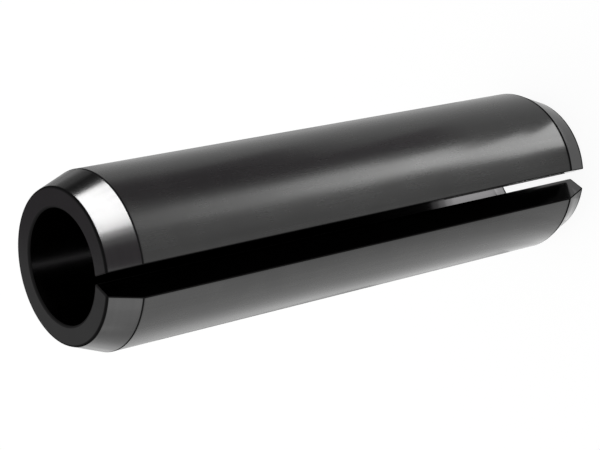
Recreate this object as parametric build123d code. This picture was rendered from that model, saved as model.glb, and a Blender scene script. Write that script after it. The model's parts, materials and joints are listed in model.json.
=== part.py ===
"""Slotted spring pin, 6 x 24 mm heavy pattern, in millimetres.

A strip of spring steel is rolled round into a tube that stays open along one side. Both edges of the strip are
bevelled, so the open side is a V slot that is wide at the outside and narrow at the bore. Each end is swaged
down to a lead-in cone, so the pin starts in a hole that is smaller than its free diameter.

The pin stands on its lower end face. +Z runs up its axis from that face, and the slot faces -Y.
"""
from build123d import *
from math import radians, sqrt, tan
import os

# Driving sizes of the free pin, before it is pressed into its hole
barrel_diameter = 6.6
wall = 1.2
length = 24.0

# Lead-in cone on each end: how far it draws the wall in, and how far it runs along the axis
lead_in_depth = 0.46
lead_in_length = 1.26

# Slot between the two edges of the strip: its width at the bore, and each edge's lean from the middle plane
throat_gap = 0.25
flank_lean = 22.0

# Small rounds that tumbling leaves on the ends and on the strip's edges
end_round = 0.08
flank_round = 0.04

# Sizes that follow
barrel_radius = barrel_diameter / 2
bore_radius = barrel_radius - wall
end_face_radius = barrel_radius - lead_in_depth

# Upright plane through the middle of the slot, with its first direction towards the slot
slot_plane = Plane(origin=(0, 0, 0), x_dir=(0, -1, 0), z_dir=(-1, 0, 0))


def wall_section():
    """Long section of the wall, from the bore out to the barrel, with a lead-in at each end."""
    with BuildSketch(slot_plane) as section:
        with BuildLine():
            Polyline(
                (bore_radius, 0),
                (end_face_radius, 0),
                (barrel_radius, lead_in_length),
                (barrel_radius, length - lead_in_length),
                (end_face_radius, length),
                (bore_radius, length),
                close=True,
            )
        make_face()
        fillet(section.vertices(), radius=end_round)
    return section.sketch


def slot_wedge():
    """Space between the strip's edges: a V that is throat_gap wide where it meets the bore."""
    half_gap = throat_gap / 2
    slope = tan(radians(flank_lean))
    throat_y = -sqrt(bore_radius**2 - half_gap**2)
    apex_y = throat_y + half_gap / slope
    mouth_y = -barrel_diameter
    mouth_half = (apex_y - mouth_y) * slope
    with BuildSketch() as section:
        with BuildLine():
            Polyline((0, apex_y), (mouth_half, mouth_y), (-mouth_half, mouth_y), close=True)
        make_face()
    return extrude(section.sketch, amount=length)


def roll_pin():
    """Whole pin: the open tube with its slot, and the strip's edges rounded all the way round."""
    tube = revolve(wall_section(), axis=Axis.Z)
    pin = tube - slot_wedge()
    flanks = pin.faces().filter_by(GeomType.PLANE).filter_by(lambda face: abs(face.normal_at().Z) < 0.5)
    return fillet(flanks.edges(), radius=flank_round)


pin = roll_pin()
pin.label = "roll_pin"

os.makedirs("parts", exist_ok=True)
export_step(pin, "parts/roll_pin.step")
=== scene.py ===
"""Looks of the slotted spring pin: a closed skin of oil-blackened spring steel, standing on a white table.

Everything is in metres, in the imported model's frame: +Z runs up the pin's axis from the end face that it
stands on, and the slot faces -Y. The skin is worked out with numpy as a stack of C-shaped sections, one for
each station along the axis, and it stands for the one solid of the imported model.
"""

import json
import logging
from dataclasses import dataclass
from enum import Enum
from math import atan2, cos, pi, radians, sin, sqrt, tan

import bmesh
import bpy
import numpy as np
from mathutils import Matrix, Vector

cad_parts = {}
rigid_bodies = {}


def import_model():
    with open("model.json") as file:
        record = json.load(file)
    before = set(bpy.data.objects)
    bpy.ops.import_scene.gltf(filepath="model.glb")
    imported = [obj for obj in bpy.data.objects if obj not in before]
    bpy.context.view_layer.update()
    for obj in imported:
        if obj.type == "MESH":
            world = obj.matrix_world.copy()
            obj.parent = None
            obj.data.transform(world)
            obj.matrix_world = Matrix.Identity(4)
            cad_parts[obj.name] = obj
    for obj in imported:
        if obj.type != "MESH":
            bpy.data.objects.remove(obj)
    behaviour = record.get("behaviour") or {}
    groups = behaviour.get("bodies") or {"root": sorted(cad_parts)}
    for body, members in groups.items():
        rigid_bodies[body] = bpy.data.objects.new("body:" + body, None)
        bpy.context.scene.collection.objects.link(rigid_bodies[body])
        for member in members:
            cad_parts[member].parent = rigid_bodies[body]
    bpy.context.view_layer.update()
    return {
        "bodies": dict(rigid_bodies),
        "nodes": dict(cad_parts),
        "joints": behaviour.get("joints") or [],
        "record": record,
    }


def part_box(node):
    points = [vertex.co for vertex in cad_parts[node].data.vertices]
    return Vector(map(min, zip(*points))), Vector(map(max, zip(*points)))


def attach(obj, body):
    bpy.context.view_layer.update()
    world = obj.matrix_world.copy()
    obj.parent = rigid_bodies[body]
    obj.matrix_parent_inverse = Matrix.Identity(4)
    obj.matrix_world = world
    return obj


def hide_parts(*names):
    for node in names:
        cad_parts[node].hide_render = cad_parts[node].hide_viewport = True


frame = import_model()

log = logging.getLogger("roll_pin")

NODE = "roll_pin"
BODY = "root"
MM = 0.001
WHITE = (1.0, 1.0, 1.0)
FAINT_VIOLET = (1.0, 0.91, 0.98)
GRID_SPREAD = radians(150.0)

Feed = float | tuple[float, ...] | bpy.types.NodeSocket
Line = tuple[tuple[float, float], tuple[float, float]]


class Zone(Enum):
    """Surfaces of the pin that were worked in different ways, and its band of painted shade along the edges,
    in the order of the skin's material slots.
    """

    BARREL = 0
    LEAD_IN = 1
    END_FACE = 2
    BORE = 3
    FLANK = 4
    # Painted shade: a matte, dark band along the rims, the bends and the flanks' rounds.
    EDGE = 5


class Grain(Enum):
    """Way that the fine marks of a surface run."""

    ALONG = "along the axis"
    ROUND = "round the axis"
    NONE = "no direction"


@dataclass(frozen=True)
class PinSizes:
    """Sizes of the free pin, in metres, and its flanks' lean in radians."""

    barrel_radius: float
    bore_radius: float
    length: float
    lead_in_length: float
    lead_in_depth: float = 0.46 * MM
    throat_gap: float = 0.25 * MM
    flank_lean: float = radians(22.0)
    end_round: float = 0.08 * MM
    flank_round: float = 0.04 * MM

    @classmethod
    def from_frame(cls, packed: dict) -> "PinSizes":
        """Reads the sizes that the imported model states.


        Returns:
            The sizes, with the length from the node's box and the radii from the record's mounts.
        """
        mounts = {mount["name"]: mount["dims"] for mount in packed["record"]["mounts"]}
        low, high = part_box(NODE)
        length = high.z - low.z
        barrel = mounts["barrel"]
        return cls(
            barrel_radius=barrel["r_mm"] * MM,
            bore_radius=mounts["bore"]["r_mm"] * MM,
            length=length,
            lead_in_length=(length - barrel["length_mm"] * MM) / 2,
        )

    @property
    def cone_angle(self) -> float:
        """Angle of the lead-in cone to the axis: the arc tangent of its depth over its length."""
        return atan2(self.lead_in_depth, self.lead_in_length)

    @property
    def face_radius(self) -> float:
        """Radius at which the lead-in cone would meet the end face if its edge were sharp."""
        return self.barrel_radius - self.lead_in_depth

    @property
    def throat(self) -> np.ndarray:
        """Where the right flank would meet the bore: x is half the gap, and y = -sqrt(r^2 - x^2)."""
        half_gap = self.throat_gap / 2
        return np.array([half_gap, -sqrt(self.bore_radius**2 - half_gap**2)])

    @property
    def flank_outward(self) -> np.ndarray:
        """Direction of the right flank away from the bore: (sin w, -cos w), with w its lean."""
        return np.array([sin(self.flank_lean), -cos(self.flank_lean)])

    @property
    def flank_inward(self) -> np.ndarray:
        """Normal of the right flank into the metal: (cos w, sin w), with w its lean."""
        return np.array([cos(self.flank_lean), sin(self.flank_lean)])

    def from_end(self, z: np.ndarray) -> np.ndarray:
        """Distance of each height from the nearer end face."""
        return np.minimum(z, self.length - z)


@dataclass
class PinSkin:
    """Closed outer skin of the pin, as a stack of C-shaped sections with a cap at each end.

    Support steps are short steps beside an edge, which keep the smooth shading of flat parts flat. The
    reaches of the band of painted shade along the edges and the widths of its dark lines are pairs: at the
    lower end and at the upper end.
    """

    sizes: PinSizes
    round_steps: int = 6
    bend_steps: int = 4
    cone_steps: int = 7
    barrel_steps: int = 16
    flank_steps: int = 7
    arc_steps: int = 90
    support_steps: tuple[float, ...] = (0.015 * MM, 0.035 * MM, 0.06 * MM, 0.095 * MM, 0.14 * MM)
    # Painted shade: reaches of the matte, dark band along the bends and the rims.
    edge_shade_on_cone: tuple[float, float] = (0.095 * MM, 0.035 * MM)
    edge_shade_on_barrel: tuple[float, float] = (0.035 * MM, 0.0)
    edge_shade_on_rim: tuple[float, float] = (0.06 * MM, 0.0)
    # Painted shade: widths and strengths of the dark lines along the edges.
    edge_shade_widths: tuple[float, float] = (0.08 * MM, 0.045 * MM)
    bend_share: float = 0.42
    lip_width: float = 0.045 * MM
    mouth_width: float = 0.06 * MM
    mouth_share: float = 0.6
    merge_distance: float = 0.0002 * MM

    def stations(self) -> np.ndarray:
        """Heights of the sections, from the lower end face to the upper one.

        Close to an end face the steps follow the round: z = q (1 - cos t), with t from 0 to a quarter turn.
        Next come even steps up the cone, short steps over its bend into the barrel, and even steps to half
        way up, with the support steps on each side of an edge. The upper half is the lower half turned
        over.

        Returns:
            Heights in metres, rising.
        """
        s = self.sizes
        q = s.end_round
        support = np.array(self.support_steps)
        bend_low, bend_high = self.bend_heights()
        turn = np.linspace(0, pi / 2, self.round_steps + 1)
        lower = np.concatenate([
            q * (1 - np.cos(turn)),
            q + support,
            np.linspace(q + support[-1], bend_low - support[-1], self.cone_steps + 1)[1:-1],
            bend_low - support[::-1],
            np.linspace(bend_low, bend_high, self.bend_steps + 1),
            bend_high + support,
            np.linspace(bend_high + support[-1], s.length / 2, self.barrel_steps + 1)[1:],
        ])
        return np.concatenate([lower, (s.length - lower[:-1])[::-1]])

    def shares(self, run: float, steps: int) -> np.ndarray:
        """Shares of a run from 0 to 1: even steps first, and the support steps at its far end.

        Args:
            run: the run's length in metres, or radians times radius.
            steps: number of even steps.

        Returns:
            Shares, rising.
        """
        support = np.array(self.support_steps) / run
        even = np.linspace(0, 1 - support[-1], steps + 1)
        return np.concatenate([even, 1 - support[:-1][::-1], [1.0]])

    def flank_shares(self) -> np.ndarray:
        """Shares of half a flank, from its middle to its foot."""
        return self.shares(self.sizes.barrel_radius - self.sizes.bore_radius, self.flank_steps)

    def bend_heights(self) -> tuple[float, float]:
        """Heights where the round between the lower cone and the barrel starts and ends.

        Its tangent length is q tan(b / 2), with b the cone's angle and q the round's radius.
        """
        s = self.sizes
        tangent = s.end_round * tan(s.cone_angle / 2)
        return s.lead_in_length - tangent * cos(s.cone_angle), s.lead_in_length + tangent

    def outer_radius(self, z: np.ndarray) -> np.ndarray:
        """Outer radius of the section at height z.

        With d the distance to the nearer end face, it is the corner's round r = c + sqrt(q^2 - (q - d)^2),
        then the cone r = r1 + (d - d1) tan b, then the bend's round r = R - q + sqrt(q^2 - (d3 - d)^2),
        then the barrel R.

        Args:
            z: heights in metres.

        Returns:
            One radius for each height.
        """
        s = self.sizes
        q, b = s.end_round, s.cone_angle
        d = s.from_end(z)
        corner_tangent = q * tan((pi / 2 - b) / 2)
        corner_centre = s.face_radius - corner_tangent
        corner_top = corner_tangent * cos(b)
        bend_low, bend_high = self.bend_heights()
        corner = corner_centre + np.sqrt(np.clip(q**2 - (q - d)**2, 0, None))
        cone = corner_centre + q * cos(b) + (d - corner_top) * tan(b)
        bend = s.barrel_radius - q + np.sqrt(np.clip(q**2 - (bend_high - d)**2, 0, None))
        runs = [d <= corner_top, d <= bend_low, d < bend_high]
        return np.select(runs, [corner, cone, bend], s.barrel_radius)

    @staticmethod
    def end_offset(d: np.ndarray, q: float) -> np.ndarray:
        """How far a round of radius q draws a wall in, d from the end face: q - sqrt(q^2 - (q - d)^2)."""
        return q - np.sqrt(np.clip(q**2 - np.clip(q - d, 0, None)**2, 0, None))

    def corner_centres(self, d: np.ndarray, reach: np.ndarray) -> np.ndarray:
        """Centres of the round between the right flank and a wall.

        The flank is the line P + t D, with D its direction outwards and N its normal into the metal. A
        centre is one flank round's radius c from that line, so it is Q + t D with Q = P + (e + c) N, where
        e is the offset near an end face, and t is the root of |Q + t D| = reach.

        Args:
            d: distance of each station from the nearer end face.
            reach: distance of each centre from the axis.

        Returns:
            One point xy for each station.
        """
        s = self.sizes
        c = s.flank_round
        start = s.throat + (self.end_offset(d, c) + c)[:, None] * s.flank_inward
        along = start @ s.flank_outward
        across = (start**2).sum(1)
        t = -along + np.sqrt(along**2 - across + reach**2)
        return start + t[:, None] * s.flank_outward

    def half_line(self, middle: np.ndarray, foot: np.ndarray, centre: np.ndarray, radius: np.ndarray,
                  turned_back: float) -> np.ndarray:
        """Right half of one line of the section: half a flank, its corner's round and the arc to the back.

        The round turns from the flank's outer normal to the circle's, which the inner line meets from
        within and so half a turn further back. The arc is r (cos a, sin a), with a up to a quarter turn at
        the back.

        Args:
            middle: the flank's middle at each station.
            foot: the flank's foot, where the round starts.
            centre: centre of the round.
            radius: radius of the wall's circle.
            turned_back: angle from the circle's normal to the round's last one.

        Returns:
            Points (station, point, xy).
        """
        s = self.sizes
        share = self.flank_shares()[None, :, None]
        arc_share = 1 - self.shares(pi * s.barrel_radius, self.arc_steps)[::-1]
        straight = middle[:, None] * (1 - share) + foot[:, None] * share
        flank_normal = s.flank_lean - pi
        first = np.arctan2(centre[:, 1], centre[:, 0])
        bend = np.linspace(0, 1, self.bend_steps + 1)[1:]
        angle = flank_normal + (first - turned_back - flank_normal)[:, None] * bend
        curve = centre[:, None] + s.flank_round * np.stack([np.cos(angle), np.sin(angle)], -1)
        swept = first[:, None] + (pi / 2 - first)[:, None] * arc_share[1:]
        arc = radius[:, None, None] * np.stack([np.cos(swept), np.sin(swept)], -1)
        return np.concatenate([straight, curve, arc], 1)

    def full_lines(self, z: np.ndarray) -> tuple[np.ndarray, np.ndarray]:
        """Outer and inner line of the whole section, from the right flank round the back to the left flank.

        The left half is the right one with x turned over. The corner of the outer line lies at R - c from the
        axis, and that of the inner line at r + c.

        Args:
            z: heights in metres, one for each station.

        Returns:
            Two arrays of points (station, point, xy) with as many points in each.
        """
        s = self.sizes
        c = s.flank_round
        d = s.from_end(z)
        outer = self.outer_radius(z)
        inner = s.bore_radius + self.end_offset(d, s.end_round)
        outer_corner, inner_corner = self.corner_centres(d, outer - c), self.corner_centres(d, inner + c)
        outer_foot, inner_foot = outer_corner - c * s.flank_inward, inner_corner - c * s.flank_inward
        middle = (outer_foot + inner_foot) / 2
        halves = (
            self.half_line(middle, outer_foot, outer_corner, outer, 0.0),
            self.half_line(middle, inner_foot, inner_corner, inner, pi),
        )
        mirror = np.array([-1.0, 1.0])
        return tuple(np.concatenate([half, (half * mirror)[:, -2::-1]], 1) for half in halves)

    def zones_of_line(self, count: int) -> tuple[np.ndarray, np.ndarray]:
        """Which steps of a full line lie on a flank, and which on the round between a flank and a wall.

        Args:
            count: number of steps in the line.

        Returns:
            Two arrays of true and false, one entry a step.
        """
        step = np.arange(count)
        step = np.minimum(step, count - 1 - step)
        flank = self.flank_steps + len(self.support_steps)
        return step < flank, (step >= flank) & (step < flank + self.bend_steps)

    def wall_zones(self, z: np.ndarray, line_steps: int) -> np.ndarray:
        """Zone of each face of the walls' grid.

        A face is in the edge band of painted shade where it lies on a round, or within that band's reach of
        the bend or of the rim.

        Args:
            z: heights of the sections.
            line_steps: number of steps in the outer line, and in the inner one.

        Returns:
            Zone numbers (step up the axis, step round the section).
        """
        s = self.sizes
        flank, corner = (np.concatenate([entry, entry[::-1]]) for entry in self.zones_of_line(line_steps))
        inside = np.arange(2 * line_steps) >= line_steps
        middle = (z[:-1] + z[1:]) / 2
        d = s.from_end(middle)
        bend_low, bend_high = self.bend_heights()
        outside = np.where(d < s.lead_in_length, Zone.LEAD_IN.value, Zone.BARREL.value)[:, None]
        zone = np.where(flank, Zone.FLANK.value, np.where(inside, Zone.BORE.value, outside))
        lower = middle < s.length / 2
        on_cone, on_barrel, on_rim = (
            np.where(lower, *reach) for reach in (self.edge_shade_on_cone, self.edge_shade_on_barrel, self.edge_shade_on_rim)
        )
        outer_wall = ~inside & ~flank
        bend = ((d > bend_low - on_cone) & (d < bend_high + on_barrel))[:, None] & outer_wall
        rim = (d < s.end_round + on_rim)[:, None] & outer_wall | (d < s.end_round)[:, None] & (flank | inside)
        # Painted shade: the band along the rims, bends and rounds gets the matte, dark edge finish.
        return np.where(rim | bend | corner, Zone.EDGE.value, zone)

    def end_cap(self, outer: np.ndarray, inner: np.ndarray, height: float) -> np.ndarray:
        """Grid of points across the wall's end face, from one flank's foot round to the other's.

        A point is (1 - t) times the outer line's plus t times the inner line's, so the first and last rows
        have the flanks' own points.

        Args:
            outer: the end section's outer line.
            inner: its inner line.
            height: height of the end face.

        Returns:
            Points (step round the section, step across the wall, xyz).
        """
        half = self.flank_shares()
        share = np.concatenate([1 - half[::-1], 1 + half[1:]])[None, :, None] / 2
        foot = len(half) - 1
        flat = outer[foot:-foot, None] * (1 - share) + inner[foot:-foot, None] * share
        return np.concatenate([flat, np.full(flat.shape[:2] + (1,), height)], -1)

    def build(self) -> bpy.types.Object:
        """Makes the skin's mesh: the walls as one grid, and a grid across the wall for each end face.

        Returns:
            The skin, with its zones as material indices, its arc lengths as a UV map and its painted edge
            shade, the dark lines along its edges, as an attribute.
        """
        z = self.stations()
        outer, inner = self.full_lines(z)
        loop = np.concatenate([outer, inner[:, -2:0:-1]], 1)
        rows, columns = loop.shape[:2]
        wall = np.concatenate([loop, np.broadcast_to(z[:, None, None], (rows, columns, 1))], -1)
        index = np.arange(rows * columns).reshape(rows, columns)
        after = np.roll(index, -1, 1)
        places = [wall.reshape(-1, 3)]
        quads = [np.stack([index[:-1], after[:-1], after[1:], index[1:]], -1).reshape(-1, 4)]
        zones = [self.wall_zones(z, outer.shape[1] - 1).ravel()]
        for end in (0, rows - 1):
            cap = self.end_cap(outer[end], inner[end], z[end])
            index = np.arange(cap.shape[0] * cap.shape[1]).reshape(cap.shape[:2]) + sum(map(len, places))
            grid = np.stack([index[:-1, :-1], index[1:, :-1], index[1:, 1:], index[:-1, 1:]], -1)
            places.append(cap.reshape(-1, 3))
            quads.append(grid.reshape(-1, 4))
            zones.append(np.full(len(quads[-1]), Zone.END_FACE.value))
        return self.closed_mesh(np.concatenate(places), np.concatenate(quads), np.concatenate(zones))

    def closed_mesh(self, places: np.ndarray, quads: np.ndarray, zones: np.ndarray) -> bpy.types.Object:
        """Joins the grids at their edges, turns the faces outwards and gives the mesh its maps.

        Args:
            places: vertex places in metres.
            quads: four vertex numbers a face.
            zones: one zone number a face.

        Returns:
            The finished object, at the origin, unturned and unscaled.
        """
        mesh = bpy.data.meshes.new(NODE + "_skin")
        mesh.from_pydata(places.tolist(), [], quads.tolist())
        mesh.polygons.foreach_set("material_index", zones.astype(np.int32))
        shell = bmesh.new()
        shell.from_mesh(mesh)
        bmesh.ops.remove_doubles(shell, verts=shell.verts, dist=self.merge_distance)
        bmesh.ops.recalc_face_normals(shell, faces=shell.faces)
        shell.to_mesh(mesh)
        shell.free()
        mesh.shade_smooth()
        flat = np.empty(len(mesh.vertices) * 3, np.float32)
        mesh.vertices.foreach_get("co", flat)
        joined = flat.reshape(-1, 3).astype(float)
        self.add_strip_map(mesh, joined)
        self.add_painted_edge_shade(mesh, joined)
        return into_scene(NODE + "_skin", mesh)

    @staticmethod
    def add_strip_map(mesh: bpy.types.Mesh, places: np.ndarray) -> None:
        """Adds the strip's own map: the length round the axis, a r, and the height, both in millimetres.

        Args:
            mesh: the joined mesh.
            places: its vertices' places.
        """
        angle = np.arctan2(places[:, 0], -places[:, 1])
        radius = np.hypot(places[:, 0], places[:, 1])
        corner = np.empty(len(mesh.loops), np.int32)
        mesh.loops.foreach_get("vertex_index", corner)
        strip = np.stack([angle * radius, places[:, 2]], -1)[corner] / MM
        layer = mesh.uv_layers.new(name="strip")
        layer.uv.foreach_set("vector", strip.astype(np.float32).ravel())

    def add_painted_edge_shade(self, mesh: bpy.types.Mesh, places: np.ndarray) -> None:
        """Adds painted shade as an attribute: each dark line fades as exp(-(d / w)^2), with d the distance
        from its edge.

        The edges are the rim of the end face, the bend from cone to barrel, the lips of the flanks on the
        slot's side, and the bore's mouth. The strongest line counts.

        Args:
            mesh: the joined mesh.
            places: its vertices' places.
        """
        s = self.sizes
        x, y, z = places.T
        radius = np.hypot(x, y)
        d = s.from_end(z)
        below_round = np.maximum(d - s.end_round / 2, 0)
        rim = np.hypot(below_round, radius - s.face_radius)
        bend = np.hypot(d - s.lead_in_length, radius - s.barrel_radius)
        off_flank = np.stack([np.abs(x), y], -1) @ s.flank_inward - s.throat @ s.flank_inward
        off_wall = np.minimum(np.abs(radius - self.outer_radius(z)), radius - s.bore_radius)
        lip = np.where(y < 0, np.hypot(off_flank, off_wall), np.inf)
        mouth = np.hypot(below_round, radius - s.bore_radius)
        width = np.where(z < s.length / 2, *self.edge_shade_widths)
        # Painted shade: dark lines along the rim, the bend, the flanks' lips and the bore's mouth.
        painted_edge_shade = np.maximum.reduce([
            np.exp(-(rim / width)**2),
            self.bend_share * np.exp(-(bend / width)**2),
            self.bend_share * np.exp(-(lip / self.lip_width)**2),
            self.mouth_share * np.exp(-(mouth / self.mouth_width)**2),
        ])
        attribute = mesh.attributes.new("painted_edge_shade", "FLOAT", "POINT")
        attribute.data.foreach_set("value", painted_edge_shade.astype(np.float32))


def into_scene(name: str, data: bpy.types.ID) -> bpy.types.Object:
    """Makes an object of a mesh, a lamp or a camera and links it to the scene."""
    made = bpy.data.objects.new(name, data)
    bpy.context.scene.collection.objects.link(made)
    return made


@dataclass(frozen=True)
class ShaderGraph:
    """Nodes of one material or world, with short ways to add and join them."""

    nodes: bpy.types.Nodes
    links: bpy.types.NodeLinks

    @classmethod
    def of(cls, owner: bpy.types.ID) -> "ShaderGraph":
        """Switches the owner's nodes on and takes hold of them."""
        owner.use_nodes = True
        return cls(owner.node_tree.nodes, owner.node_tree.links)

    def feed(self, node: bpy.types.Node, inputs: dict[str | int, Feed]) -> None:
        """Gives a node its inputs.

        Args:
            node: the node.
            inputs: for each input, by its name or number, the socket that is linked to it or its plain value.
        """
        for key, value in inputs.items():
            if isinstance(value, bpy.types.NodeSocket):
                self.links.new(value, node.inputs[key])
            else:
                node.inputs[key].default_value = value

    def add(self, kind: str, inputs: dict[str | int, Feed] | None = None) -> bpy.types.Node:
        """Adds a node of a kind, with its inputs as feed() takes them."""
        node = self.nodes.new(kind)
        self.feed(node, inputs or {})
        return node

    def maths(self, operation: str, *values: Feed) -> bpy.types.NodeSocket:
        """Result of a Math node on sockets or numbers, in their order."""
        node = self.nodes.new("ShaderNodeMath")
        node.operation = operation
        self.feed(node, dict(enumerate(values)))
        return node.outputs["Value"]

    def ranged(self, factor: bpy.types.NodeSocket, low: float, high: float) -> bpy.types.NodeSocket:
        """Value that runs from low, where the factor is 0, to high, where it is 1."""
        node = self.add("ShaderNodeMapRange", {"Value": factor, "To Min": low, "To Max": high})
        return node.outputs["Result"]

    def scaled(self, colour: tuple[float, float, float],
               factor: bpy.types.NodeSocket) -> bpy.types.NodeSocket:
        """Colour times a factor."""
        node = self.nodes.new("ShaderNodeVectorMath")
        node.operation = "SCALE"
        self.feed(node, {0: colour, "Scale": factor})
        return node.outputs["Vector"]

    def seen_rays(self) -> bpy.types.NodeSocket:
        """Socket that is 1 for camera, glossy and transmission rays, and 0 for the rest."""
        path = self.add("ShaderNodeLightPath")
        seen = self.maths("MAXIMUM", path.outputs["Is Camera Ray"], path.outputs["Is Glossy Ray"])
        return self.maths("MAXIMUM", seen, path.outputs["Is Transmission Ray"])


@dataclass(frozen=True)
class BlackenedSteel:
    """Oil-blackened spring steel as one zone of the pin shows it.

    Widths and lengths of the marks and streaks are in millimetres of the strip's own map. The ranges are the
    least and the greatest factor that the mottle puts on the colour and on the roughness.
    """

    zone: Zone
    colour: tuple[float, float, float]
    roughness: float
    grain: Grain
    edge_tint: float = 1.0
    metallic: float = 1.0
    gloss_level: float = 0.5
    mark_width: float = 0.03
    mark_length: float = 1.7
    mark_depth: float = 0.0004 * MM
    mark_detail: float = 2.0
    streak_width: float = 0.16
    streak_length: float = 7.0
    streak_detail: float = 3.0
    streak_share: float = 0.45
    mottle_scale: float = 900.0
    mottle_detail: float = 4.0
    colour_range: tuple[float, float] = (0.85, 1.15)
    roughness_range: tuple[float, float] = (0.92, 1.08)
    # Painted shade: how far the colour darkens along the edges.
    edge_shade_darkening: float = 0.8

    def material(self) -> bpy.types.Material:
        """Builds the zone's node material.

        The mottle is (1 - s) times a cloudy noise plus s times streaks along the grain.

        Returns:
            A metal whose colour and roughness vary with a faint mottle, with fine marks as bump, and with
            painted shade: a darker line along the edges, where the painted edge shade attribute is high.
        """
        made = bpy.data.materials.new("blackened_steel_" + self.zone.name.lower())
        graph = ShaderGraph.of(made)
        place = graph.add("ShaderNodeTexCoord").outputs["Object"]
        strip = graph.add("ShaderNodeUVMap")
        strip.uv_map = "strip"
        painted_edge_shade = graph.add("ShaderNodeAttribute")
        painted_edge_shade.attribute_name = "painted_edge_shade"

        cloud = graph.add("ShaderNodeTexNoise", {
            "Vector": place, "Scale": self.mottle_scale, "Detail": self.mottle_detail,
        })
        streaks = self.grained_noise(graph, strip, self.streak_width, self.streak_length, self.streak_detail)
        weighed = graph.maths("MULTIPLY", cloud.outputs["Fac"], 1 - self.streak_share)
        mottle = graph.maths("MULTIPLY_ADD", streaks, self.streak_share, weighed)

        tone = graph.ranged(mottle, *self.colour_range)
        # Painted shade: the colour darkens where the painted edge shade attribute is high.
        dark = graph.ranged(painted_edge_shade.outputs["Fac"], 1.0, 1.0 - self.edge_shade_darkening)
        low, high = self.roughness_range
        marks = self.grained_noise(graph, strip, self.mark_width, self.mark_length, self.mark_detail)
        bump = graph.add("ShaderNodeBump", {"Strength": 1.0, "Distance": self.mark_depth, "Height": marks})
        graph.feed(graph.nodes["Principled BSDF"], {
            "Metallic": self.metallic,
            "Specular IOR Level": self.gloss_level,
            "Specular Tint": (self.edge_tint,) * 3 + (1.0,),
            "Base Color": graph.scaled(self.colour, graph.maths("MULTIPLY", tone, dark)),
            "Roughness": graph.ranged(mottle, self.roughness * low, self.roughness * high),
            "Normal": bump.outputs["Normal"],
        })
        return made

    def grained_noise(self, graph: ShaderGraph, strip: bpy.types.Node, width: float, length: float,
                      detail: float) -> bpy.types.NodeSocket:
        """Noise on the strip's own map, stretched along the grain.

        Args:
            graph: the material's nodes.
            strip: the node that reads the strip's map.
            width: a mark's size across the grain, in millimetres.
            length: its size along the grain.
            detail: number of finer octaves.

        Returns:
            The noise, from 0 to 1.
        """
        across, along = 1 / width, 1 / length
        scale = {
            Grain.ALONG: (across, along, 1.0),
            Grain.ROUND: (along, across, 1.0),
            Grain.NONE: (across, across, 1.0),
        }[self.grain]
        stretch = graph.add("ShaderNodeMapping", {"Vector": strip.outputs["UV"], "Scale": scale})
        noise = graph.nodes.new("ShaderNodeTexNoise")
        noise.noise_dimensions = "2D"
        graph.feed(noise, {"Vector": stretch.outputs["Vector"], "Scale": 1.0, "Detail": detail})
        return noise.outputs["Fac"]


FINISHES = (
    BlackenedSteel(Zone.BARREL, colour=(0.0450, 0.0450, 0.0447), roughness=0.271, grain=Grain.ALONG,
                   edge_tint=0.9),
    BlackenedSteel(Zone.LEAD_IN, colour=(0.0595, 0.0593, 0.0593), roughness=0.192, grain=Grain.ROUND,
                   edge_tint=0.75),
    BlackenedSteel(Zone.END_FACE, colour=(0.0300, 0.0299, 0.0301), roughness=0.28, grain=Grain.NONE,
                   edge_tint=0.6),
    BlackenedSteel(Zone.BORE, colour=(0.0290, 0.0284, 0.0290), roughness=0.22, grain=Grain.ALONG,
                   edge_tint=0.4),
    BlackenedSteel(Zone.FLANK, colour=(0.0360, 0.0355, 0.0360), roughness=0.13, grain=Grain.ALONG),
    # Painted shade: matte and dark, without gloss, so the edges show as dark lines.
    BlackenedSteel(Zone.EDGE, colour=(0.0330, 0.0325, 0.0330), roughness=0.5, grain=Grain.NONE, metallic=0.0,
                   gloss_level=0.0, edge_shade_darkening=0.68),
)


@dataclass
class RollPin:
    """The whole pin: its skin, dressed zone by zone."""

    sizes: PinSizes
    finishes: tuple[BlackenedSteel, ...] = FINISHES

    def build(self) -> bpy.types.Object:
        """Makes the skin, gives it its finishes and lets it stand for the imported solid."""
        piece = PinSkin(self.sizes).build()
        for finish in sorted(self.finishes, key=lambda entry: entry.zone.value):
            piece.data.materials.append(finish.material())
        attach(piece, BODY)
        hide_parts(NODE)
        return piece


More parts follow.
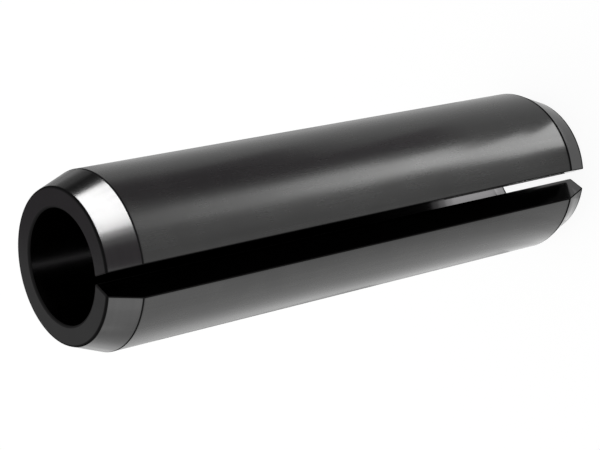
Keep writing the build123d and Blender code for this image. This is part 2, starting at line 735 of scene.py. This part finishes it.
@dataclass(frozen=True)
class Panel:
    """Flat rectangle of the studio, by its centre and its two half-axes u and v.

    Its front is the side that -(u x v) points to.
    """

    name: str
    centre: Vector
    half_u: Vector
    half_v: Vector

    @classmethod
    def standing(cls, name: str, azimuth: float, distance: float, half_width: float, low: float,
                 high: float) -> "Panel":
        """Upright panel that faces the pin.

        Args:
            name: the panel's own name.
            azimuth: degrees round from the slot's side, -Y, towards +X.
            distance: metres from the pin's axis.
            half_width: half of its level side, in metres.
            low: height of its lower edge, in metres.
            high: height of its upper edge, in metres.
        """
        out, side = cls.level_axes(azimuth)
        centre = out * distance + Vector((0, 0, (low + high) / 2))
        return cls(name, centre, side * half_width, Vector((0, 0, (high - low) / 2)))

    @classmethod
    def cornered(cls, name: str, azimuth: float, size: float, near: float, lift: float) -> "Panel":
        """Square that lies on the table with one corner by the pin and its diagonal along the azimuth.

        Half a side is the diagonal over the square root of 8.

        Args:
            name: the panel's own name.
            azimuth: degrees round from -Y towards +X.
            size: the square's diagonal, in metres.
            near: metres from the axis to the near corner.
            lift: its height over the table, in metres.
        """
        out, side = cls.level_axes(azimuth)
        first, second = (out - side) * (size / sqrt(8)), (out + side) * (size / sqrt(8))
        return cls(name, out * near + first + second + Vector((0, 0, lift)), second, first)

    @classmethod
    def between(cls, name: str, line: Line, half_width: float, lift: float) -> "Panel":
        """Panel that lies on the table and faces up, along a line.

        Args:
            name: the panel's own name.
            line: x and y of the middle of each short side, in millimetres.
            half_width: half of its width, in metres.
            lift: its height over the table, in metres.
        """
        start, end = cls.line_ends(line)
        along = (end - start) / 2
        across = Vector((-along.y, along.x, 0)).normalized() * half_width
        return cls(name, (start + end) / 2 + Vector((0, 0, lift)), across, along)

    @classmethod
    def upright(cls, name: str, line: Line, low: float, high: float) -> "Panel":
        """Upright panel on a line, with its front to the left of that line.

        Args:
            name: the panel's own name.
            line: x and y of each lower corner, in millimetres.
            low: height of its lower edge, in metres.
            high: height of its upper edge, in metres.
        """
        start, end = cls.line_ends(line)
        centre = (start + end) / 2 + Vector((0, 0, (low + high) / 2))
        return cls(name, centre, (end - start) / 2, Vector((0, 0, (high - low) / 2)))

    @staticmethod
    def line_ends(line: Line) -> tuple[Vector, Vector]:
        """Both ends of a line at table height, in metres."""
        return tuple(Vector((x, y, 0)) * MM for x, y in line)

    @staticmethod
    def level_axes(azimuth: float) -> tuple[Vector, Vector]:
        """Level unit vectors outwards along the azimuth and sideways from it."""
        a = radians(azimuth)
        return Vector((sin(a), -cos(a), 0)), Vector((cos(a), sin(a), 0))

    def turn(self) -> Matrix:
        """Turn whose columns are the panel's two directions and its back."""
        across, along = self.half_u.normalized(), self.half_v.normalized()
        return Matrix((across, along, across.cross(along))).transposed().to_4x4()

    def staged(self, material: bpy.types.Material) -> bpy.types.Object:
        """Makes the rectangle as one face of a material."""
        signs = ((-1, -1), (1, -1), (1, 1), (-1, 1))
        mesh = bpy.data.meshes.new(self.name)
        corners = [tuple(self.centre + self.half_u * i + self.half_v * j) for i, j in signs]
        mesh.from_pydata(corners, [], [(0, 1, 2, 3)])
        mesh.materials.append(material)
        made = into_scene(self.name, mesh)
        return made


@dataclass(frozen=True)
class Wedge:
    """Panel that lies on the table and faces up, along a ray from the pin's axis, with its level.

    Its half width is the middle radius times the tangent of half_angle, so a row of them widens as a wedge.
    Angles are in degrees. Its edges' distances from the axis, and its lift over the table, are in
    millimetres.
    """

    name: str
    azimuth: float
    near: float
    far: float
    half_angle: float
    level: float
    lift: float = 0.1
    tint: tuple[float, float, float] = WHITE

    def panel(self) -> Panel:
        """Rectangle from the near edge to the far one."""
        out, side = Panel.level_axes(self.azimuth)
        near, far = self.near * MM, self.far * MM
        middle = (near + far) / 2
        half_width = middle * tan(radians(self.half_angle))
        centre = out * middle + Vector((0, 0, self.lift * MM))
        return Panel(self.name, centre, side * half_width, out * ((far - near) / 2))


@dataclass(frozen=True)
class SoftPanel:
    """Soft light of a panel's shape, of an even radiance where 1 is white.

    A spread under half a turn is a grid before it, which lets its light out up to half that angle from its
    front.
    """

    panel: Panel
    radiance: float
    only_mirrored: bool = True
    spread: float = pi

    def build(self) -> bpy.types.Object:
        """Makes the area lamp. Its power is radiance times area times pi, so its level keeps at any size."""
        width, height = self.panel.half_u.length * 2, self.panel.half_v.length * 2
        light = bpy.data.lights.new(self.panel.name, "AREA")
        light.shape = "RECTANGLE"
        light.size = width
        light.size_y = height
        light.spread = self.spread
        light.energy = self.radiance * width * height * pi
        lamp = into_scene(self.panel.name, light)
        lamp.matrix_world = Matrix.Translation(self.panel.centre) @ self.panel.turn()
        lamp.visible_camera = False
        lamp.visible_diffuse = not self.only_mirrored
        return lamp


@dataclass(frozen=True)
class GreyCard:
    """Card of a panel's shape that the steel mirrors in place of the white room."""

    panel: Panel
    level: float
    tint: tuple[float, float, float] = WHITE

    def build(self) -> bpy.types.Object:
        """Makes the card and its material."""
        made = bpy.data.materials.new(self.panel.name)
        graph = ShaderGraph.of(made)
        graph.nodes.clear()
        glow = graph.add("ShaderNodeEmission", {"Color": self.tint + (1.0,), "Strength": self.level})
        graph.add("ShaderNodeOutputMaterial", {"Surface": glow.outputs["Emission"]})
        card = self.panel.staged(made)
        card.visible_camera = card.visible_diffuse = card.visible_shadow = False
        return card


@dataclass(frozen=True)
class WhiteTable:
    """White table top that the pin stands on, seen pure white with a faint shadow."""

    half_width: float = 0.5
    drop: float = 0.01 * MM
    glow: float = 0.93
    albedo: float = 0.12

    def build(self) -> bpy.types.Object:
        """Makes the table's square and its material."""
        half_u, half_v = Vector((self.half_width, 0, 0)), Vector((0, self.half_width, 0))
        return Panel("table", Vector((0, 0, -self.drop)), half_u, half_v).staged(self.material())

    def material(self) -> bpy.types.Material:
        """White paint that also glows for camera, glossy and transmission rays, and is clear from below."""
        made = bpy.data.materials.new("white_table")
        graph = ShaderGraph.of(made)
        graph.nodes.clear()
        paint = graph.add("ShaderNodeBsdfDiffuse", {"Color": (self.albedo,) * 3 + (1.0,)})
        shine = graph.maths("MULTIPLY", graph.seen_rays(), self.glow)
        glow = graph.add("ShaderNodeEmission", {"Strength": shine})
        added = graph.add("ShaderNodeAddShader", {0: paint.outputs["BSDF"], 1: glow.outputs["Emission"]})
        mix = graph.add("ShaderNodeMixShader", {
            0: graph.add("ShaderNodeNewGeometry").outputs["Backfacing"],
            1: added.outputs["Shader"],
            2: graph.add("ShaderNodeBsdfTransparent").outputs["BSDF"],
        })
        graph.add("ShaderNodeOutputMaterial", {"Surface": mix.outputs["Shader"]})
        return made


@dataclass(frozen=True)
class WhiteRoom:
    """World round the table: white where it is seen or mirrored, and a plain soft light elsewhere."""

    ambient: float = 0.5

    def build(self) -> bpy.types.World:
        """Makes the world and hands it to the scene."""
        world = bpy.data.worlds.new("white_room")
        graph = ShaderGraph.of(world)
        graph.feed(graph.nodes["Background"], {
            "Color": WHITE + (1.0,),
            "Strength": graph.ranged(graph.seen_rays(), self.ambient, 1.0),
        })
        bpy.context.scene.world = world
        return world


@dataclass(frozen=True)
class PhotoCamera:
    """Camera at the photograph's viewing angle, by its line of sight, its aim point and its roll."""

    azimuth: float = 19.303
    elevation: float = 38.332
    roll: float = -102.219
    distance: float = 71.68 * MM
    aim: tuple[float, float, float] = (-0.503 * MM, 0.439 * MM, 12.735 * MM)
    lens: float = 110.44
    sensor: float = 36.0
    clip_start: float = 1.4336 * MM
    clip_end: float = 5.0

    def build(self) -> bpy.types.Object:
        """Makes the camera.

        The way back from the aim point is (sin a cos e, -cos a cos e, sin e). The picture's right and up
        are the level right and the up square to it, both turned by the roll about the line of sight.

        Returns:
            The camera, set as the scene's own.
        """
        a, e, roll = radians(self.azimuth), radians(self.elevation), radians(self.roll)
        back = Vector((sin(a) * cos(e), -cos(a) * cos(e), sin(e)))
        level_right = Vector((0, 0, 1)).cross(back).normalized()
        level_up = back.cross(level_right)
        right = level_right * cos(roll) + level_up * sin(roll)
        up = level_up * cos(roll) - level_right * sin(roll)
        turn = Matrix((right, up, back)).transposed()
        lens = bpy.data.cameras.new("photo_camera")
        lens.lens = self.lens
        lens.sensor_width = self.sensor
        lens.clip_start = self.clip_start
        lens.clip_end = self.clip_end
        camera = into_scene("photo_camera", lens)
        camera.matrix_world = Matrix.Translation(Vector(self.aim) + back * self.distance) @ turn.to_4x4()
        bpy.context.scene.camera = camera
        return camera


@dataclass(frozen=True)
class Bank:
    """Row of upright panels side by side on a circle round the pin, each with a level of its own.

    Edges are in degrees, round from -Y towards +X, and lengths in metres. Each degree round from the first
    edge sinks a panel by the row's sink.
    """

    name: str
    edges: tuple[float, ...]
    levels: tuple[float, ...]
    distance: float
    low: float
    high: float
    sink: float = 0.0

    def panels(self) -> list[tuple[Panel, float]]:
        """Each panel with its level. A half width is the distance times the tangent of the half angle."""
        made = []
        for number, (first, last, level) in enumerate(zip(self.edges, self.edges[1:], self.levels), 1):
            half = self.distance * tan(radians((last - first) / 2))
            azimuth = (first + last) / 2
            drop = self.sink * (azimuth - self.edges[0])
            panel = Panel.standing(f"{self.name}_{number}", azimuth, self.distance, half, self.low - drop,
                                   self.high - drop)
            made.append((panel, level))
        return made


@dataclass(frozen=True)
class BoreLamps:
    """Small lamps low in the bore, which its back wall mirrors through the slot as a grey streak.

    Four stand one on the other, fainter towards the top, where the streak dies away. The fifth is low and
    close to the wall, so that the streak runs down to the bore's edge. All have a grid, so the bore stays
    dark from above. Lines and heights are in millimetres.
    """

    stack_line: Line = ((-1.13, 0.79), (-0.47, 1.85))
    stack_edges: tuple[float, ...] = (0.03, 2.7, 3.1, 3.5, 3.9)
    stack_radiances: tuple[float, ...] = (7.2, 5.0, 2.2, 0.9)
    low_line: Line = ((-1.647, 1.247), (-0.867, 1.877))
    low_edges: tuple[float, float] = (0.02, 0.53)
    low_radiance: float = 7.2

    def lights(self) -> list[SoftPanel]:
        """The stack from its lowest lamp up, then the low one."""
        stack = zip(self.stack_edges, self.stack_edges[1:], self.stack_radiances)
        rows = [(self.stack_line, *row) for row in stack]
        rows.append((self.low_line, *self.low_edges, self.low_radiance))
        made = []
        for number, (line, low, high, radiance) in enumerate(rows, 1):
            panel = Panel.upright(f"bore_light_{number}", line, low * MM, high * MM)
            made.append(SoftPanel(panel, radiance, spread=GRID_SPREAD))
        return made


@dataclass(frozen=True)
class FaceCard:
    """Small card that one half of the upper end face mirrors towards the camera.

    It hangs on the mirrored line of sight from the middle of the end face, square to it, and is moved aside
    so that its edge crosses the middle of the face.
    """

    mirrored: tuple[float, float, float] = (-0.279, 0.811, 0.511)
    roll: float = -30.0
    face_height: float = 24 * MM
    reach: float = 10 * MM
    half_side: float = 5 * MM
    aside: float = 0.3 * MM

    def panel(self) -> Panel:
        """The card's square, rolled about the mirrored line."""
        sight = Vector(self.mirrored).normalized()
        level = Vector((sight.y, -sight.x, 0)).normalized()
        across = Matrix.Rotation(radians(self.roll), 3, sight) @ level
        along = sight.cross(across)
        moved = across * (self.half_side + self.aside)
        centre = Vector((0, 0, self.face_height)) + sight * self.reach + moved
        return Panel("face_card", centre, across * self.half_side, along * self.half_side)


@dataclass(frozen=True)
class Studio:
    """Table, room, lights, cards and camera round the pin.

    Lamps that lie on the table and overlap have each a lift of their own, because lamps in one plane dim
    each other.
    """

    front: Bank = Bank("front_softbox", edges=(41, 49, 57, 65), levels=(3.9, 20.0, 24.0), distance=60 * MM,
                       low=27.8 * MM, high=33.6 * MM, sink=0.14 * MM)
    side: Bank = Bank("side_softbox", edges=(65, 77, 89, 101, 112), levels=(25.0, 25.0, 24.0, 23.0),
                      distance=60 * MM, low=25 * MM, high=31.4 * MM, sink=0.18 * MM)
    left: Bank = Bank("left_softbox", edges=(-118, -98, -75, -50, -22), levels=(9.0, 1.6, 0.7, 1.0),
                      distance=60 * MM, low=18 * MM, high=40 * MM)
    walls: Bank = Bank("wall_card", edges=(116, 136, 160, 188), levels=(0.05, 0.38, 0.05), distance=75 * MM,
                       low=0.5 * MM, high=55 * MM)
    bore: BoreLamps = BoreLamps()
    face: FaceCard = FaceCard()
    corner_fill_size: float = 110 * MM
    corner_fill_gap: float = 1 * MM
    card_lift: float = 0.1 * MM
    fills: tuple[Wedge, ...] = (
        Wedge("foot_light", azimuth=-30.0, near=2.85, far=3.1, half_angle=12.0, level=0.5),
        Wedge("far_fill", azimuth=-112.0, near=40, far=85, half_angle=18.0, level=0.45, lift=0.6),
        Wedge("slot_low_fill", azimuth=-26.0, near=3.9, far=8, half_angle=12.0, level=0.45, lift=0.15),
        Wedge("slot_high_fill", azimuth=-40.0, near=29, far=44, half_angle=10.0, level=0.6, lift=0.7),
        Wedge("side_high_fill", azimuth=-101.0, near=17, far=38, half_angle=14.0, level=0.2, lift=0.8),
        Wedge("band_low_fill", azimuth=27.0, near=5.5, far=14, half_angle=9.0, level=0.2, lift=0.35),
        Wedge("band_high_fill", azimuth=27.0, near=14, far=38, half_angle=9.0, level=0.25, lift=0.45),
    )
    strips: tuple[Wedge, ...] = (
        Wedge("table_strip_1", azimuth=43.5, near=3.4, far=6, half_angle=11.0, level=5.5, lift=0.2),
        Wedge("table_strip_2", azimuth=46.0, near=6, far=10, half_angle=9.8, level=5.45, lift=0.2),
        Wedge("table_strip_3", azimuth=52.0, near=10, far=15, half_angle=9.7, level=6.65, lift=0.2),
        Wedge("table_strip_4", azimuth=52.6, near=15, far=23, half_angle=11.2, level=4.5, lift=0.2),
        Wedge("table_strip_5", azimuth=52.6, near=23, far=38, half_angle=11.2, level=1.9, lift=0.2),
    )
    floor_cards: tuple[Wedge, ...] = (
        Wedge("table_card", azimuth=94.0, near=30, far=65, half_angle=15.9, level=0.37, tint=FAINT_VIOLET),
        Wedge("inner_card", azimuth=91.8, near=19, far=30, half_angle=21.8, level=0.37, tint=FAINT_VIOLET),
        Wedge("close_card", azimuth=83.5, near=10, far=19, half_angle=11.0, level=0.48, tint=FAINT_VIOLET),
        Wedge("back_card", azimuth=176.0, near=35, far=72, half_angle=14.0, level=0.62),
    )

    def lights(self) -> list[SoftPanel]:
        """Every soft light of the studio. The bright strips have a grid, so low views don't mirror them."""
        banks = (self.front, self.side, self.left)
        softboxes = [SoftPanel(panel, level) for bank in banks for panel, level in bank.panels()]
        fills = [SoftPanel(fill.panel(), fill.level) for fill in self.fills]
        strips = [SoftPanel(strip.panel(), strip.level, spread=GRID_SPREAD) for strip in self.strips]
        return [*softboxes, *self.corner_fills(), *self.bore.lights(), *fills, self.overhead(), *strips]

    def corner_fills(self) -> list[SoftPanel]:
        """Faint squares on the table that lift the whole left side of the barrel."""
        made = []
        for name, azimuth, radiance, lift in (
            ("back_fill", -93.0, 0.2, 0.3 * MM),
            ("left_fill", -77.0, 0.39, 0.4 * MM),
            ("near_fill", -37.0, 0.31, 0.5 * MM),
        ):
            square = Panel.cornered(name, azimuth, self.corner_fill_size, self.corner_fill_gap, lift)
            made.append(SoftPanel(square, radiance))
        return made

    @staticmethod
    def overhead() -> SoftPanel:
        """Large soft light over the table, the only one that lights it."""
        panel = Panel("overhead", centre=Vector((-0.1, 0.15, 0.35)), half_u=Vector((0.15, 0, 0)),
                      half_v=Vector((0, 0.15, 0)))
        return SoftPanel(panel, radiance=1.0, only_mirrored=False)

    def cards(self) -> list[GreyCard]:
        """Every card that the steel mirrors."""
        walls = [GreyCard(panel, level) for panel, level in self.walls.panels()]
        floor = [GreyCard(card.panel(), card.level, card.tint) for card in self.floor_cards]
        front = Panel.standing("front_card", azimuth=18.0, distance=70 * MM, half_width=18 * MM, low=14 * MM,
                               high=40 * MM)
        middle = [
            GreyCard(front, level=0.40, tint=FAINT_VIOLET),
            GreyCard(self.face.panel(), level=0.56, tint=FAINT_VIOLET),
        ]
        return [*walls, *floor, *middle, *self.rim_cards(), GreyCard(self.throat_card(), level=0.02)]

    def rim_cards(self) -> list[GreyCard]:
        """Narrow cards that darken the edge of the barrel on both of its outlines."""
        between, lift = Panel.between, self.card_lift
        low_rim = between("low_rim_card", ((-4.35, 1.05), (-8.83, 9.16)), half_width=1.3 * MM, lift=lift)
        low_rim_end = between("low_rim_end_card", ((-8.83, 9.16), (-18.5, 26.7)), half_width=3.3 * MM,
                              lift=lift)
        high_rim = between("high_rim_card", ((2.40, 4.71), (1.30, 14.6)), half_width=1.3 * MM, lift=lift)
        high_rim_end = between("high_rim_end_card", ((1.30, 14.6), (-0.44, 30.5)), half_width=3.0 * MM,
                               lift=lift)
        return [
            GreyCard(low_rim, level=0.2),
            GreyCard(low_rim_end, level=0.06),
            GreyCard(high_rim, level=0.6),
            GreyCard(high_rim_end, level=0.6),
        ]

    @staticmethod
    def throat_card() -> Panel:
        """Upright card just inside the slot, which the flank seen almost edge-on mirrors as a dark line."""
        return Panel("throat_card", centre=Vector((-0.02, -1.85, 3.6)) * MM, half_u=Vector((0.12, 0, 0)) * MM,
                     half_v=Vector((0, 0, 3.55)) * MM)

    def build(self) -> None:
        """Makes every part of the studio and sets the plain view transform."""
        WhiteTable().build()
        WhiteRoom().build()
        for piece in self.lights() + self.cards():
            log.info("studio: %s", piece.build().name)
        PhotoCamera().build()
        bpy.context.scene.view_settings.view_transform = "Standard"


def main() -> None:
    """Builds the pin and its studio, and reports each piece."""
    logging.basicConfig(level=logging.INFO, format="%(name)s: %(message)s")
    sizes = PinSizes.from_frame(frame)
    piece = RollPin(sizes).build()
    log.info("%s has %d faces", piece.name, len(piece.data.polygons))
    Studio().build()


if __name__ == "__main__":
    main()
